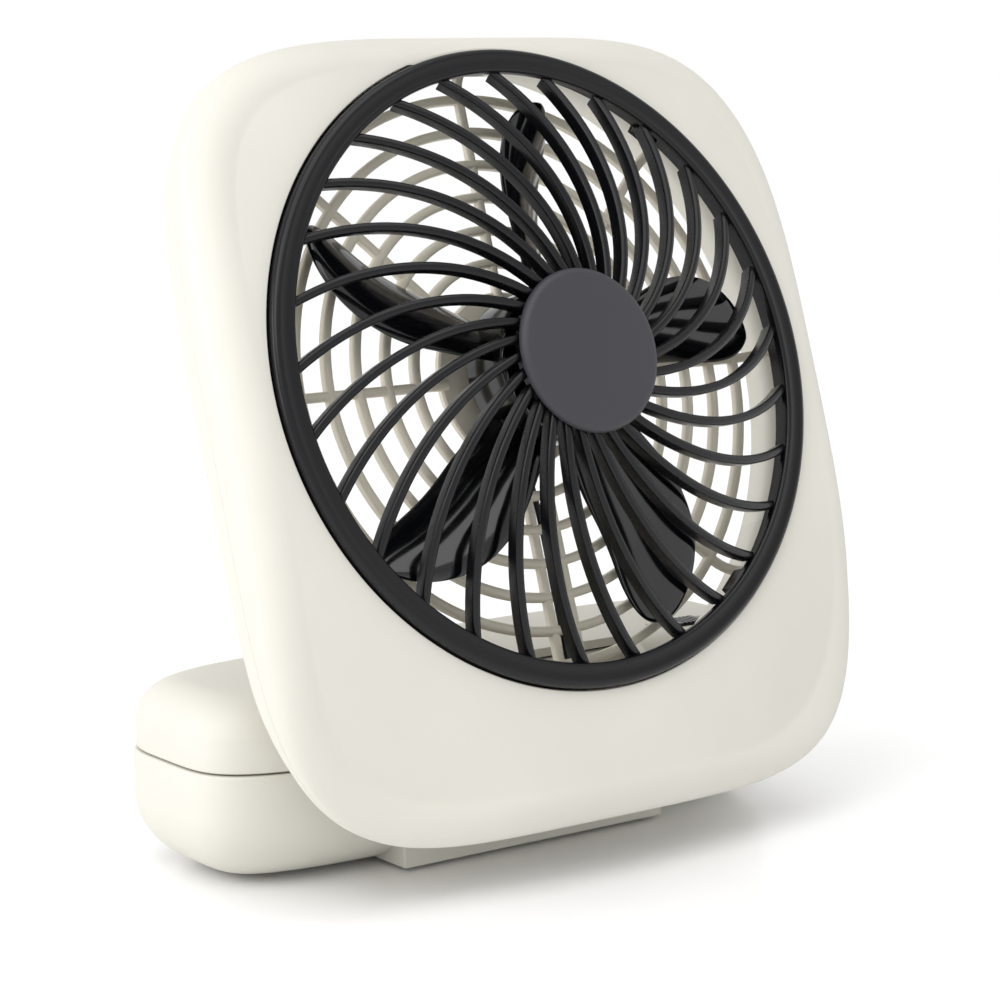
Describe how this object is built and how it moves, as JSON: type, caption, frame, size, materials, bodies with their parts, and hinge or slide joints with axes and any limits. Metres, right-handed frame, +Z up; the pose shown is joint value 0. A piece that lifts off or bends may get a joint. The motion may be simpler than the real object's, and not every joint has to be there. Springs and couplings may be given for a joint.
{
  "type": "folding desk fan",
  "caption": "Battery desk fan with a rounded square head, a swept-rib round front grille and a wide low base that the head hinges on and folds down over.",
  "frame": {"origin": "on the surface the feet stand on, under the middle of the bounding box", "axes": "+Z up, the fan blows towards -Y, +X to the right as seen from in front"},
  "size_m": [0.16, 0.0848, 0.1762],
  "materials": {
    "shell": "matt warm grey moulded plastic",
    "rear_plastic": "matt beige moulded plastic",
    "dark_plastic": "satin charcoal moulded plastic",
    "cap_plastic": "fine-grained charcoal moulded plastic",
    "black_plastic": "polished black moulded plastic",
    "motor_black": "black glass-filled plastic",
    "steel": "zinc-plated steel",
    "spring_steel": "nickel-plated spring steel",
    "bronze": "sintered bronze",
    "brass": "brass strip",
    "core_steel": "stamped electrical steel",
    "copper": "enamelled copper wire",
    "magnet": "sintered ferrite",
    "lead": "PVC lead insulation",
    "board": "green glass-epoxy board",
    "resistor": "ceramic resistor",
    "nylon": "natural nylon",
    "foot": "dark rubber",
    "cell": "plain lacquered sleeve"
  },
  "bodies": {
    "base": {"hinge_pin": "steel", "friction_washers": "nylon", "base_shell": "shell", "base_lid": "shell", "base_screws": "steel", "battery_left": "cell", "battery_right": "cell", "contact_spring": "spring_steel", "contact_plates": "spring_steel", "switch_body": "motor_black", "switch_board": "board", "speed_resistor": "resistor", "base_leads": "lead", "front_feet": "foot"},
    "head": {"front_shell": "shell", "rear_shell": "shell", "rear_grille": "rear_plastic", "front_grille": "dark_plastic", "grille_cap": "cap_plastic", "motor_can": "steel", "motor_magnets": "magnet", "motor_end_bell": "motor_black", "motor_bushes": "bronze", "motor_brushes": "brass", "motor_terminals": "brass", "motor_screws": "steel", "head_screws": "steel", "head_leads": "lead", "tilt_bracket": "shell", "bracket_screws": "steel"},
    "rotor": {"impeller": "black_plastic", "motor_shaft": "steel", "armature_core": "core_steel", "armature_windings": "copper", "commutator": "brass"},
    "switch": {"switch_knob": "dark_plastic"},
    "door": {"battery_door": "shell", "door_feet": "foot"}
  },
  "joints": [
    {"name": "head_tilt", "type": "hinge", "parent": "base", "child": "head", "pos_m": [0, -0.00587, 0.029], "axis": [-1, 0, 0], "range_deg": [-18.7, 71.3]},
    {"name": "impeller_spin", "type": "hinge", "parent": "head", "child": "rotor", "pos_m": [0, -0.01594, 0.10747], "axis": [0, -0.9472, 0.3206], "continuous": true},
    {"name": "switch_slide", "type": "slide", "parent": "base", "child": "switch", "axis": [1, 0, 0], "range_m": [-0.0035, 0.0035]},
    {"name": "door_slide", "type": "slide", "parent": "base", "child": "door", "axis": [0, 1, 0], "range_m": [0, 0.015]}
  ]
}
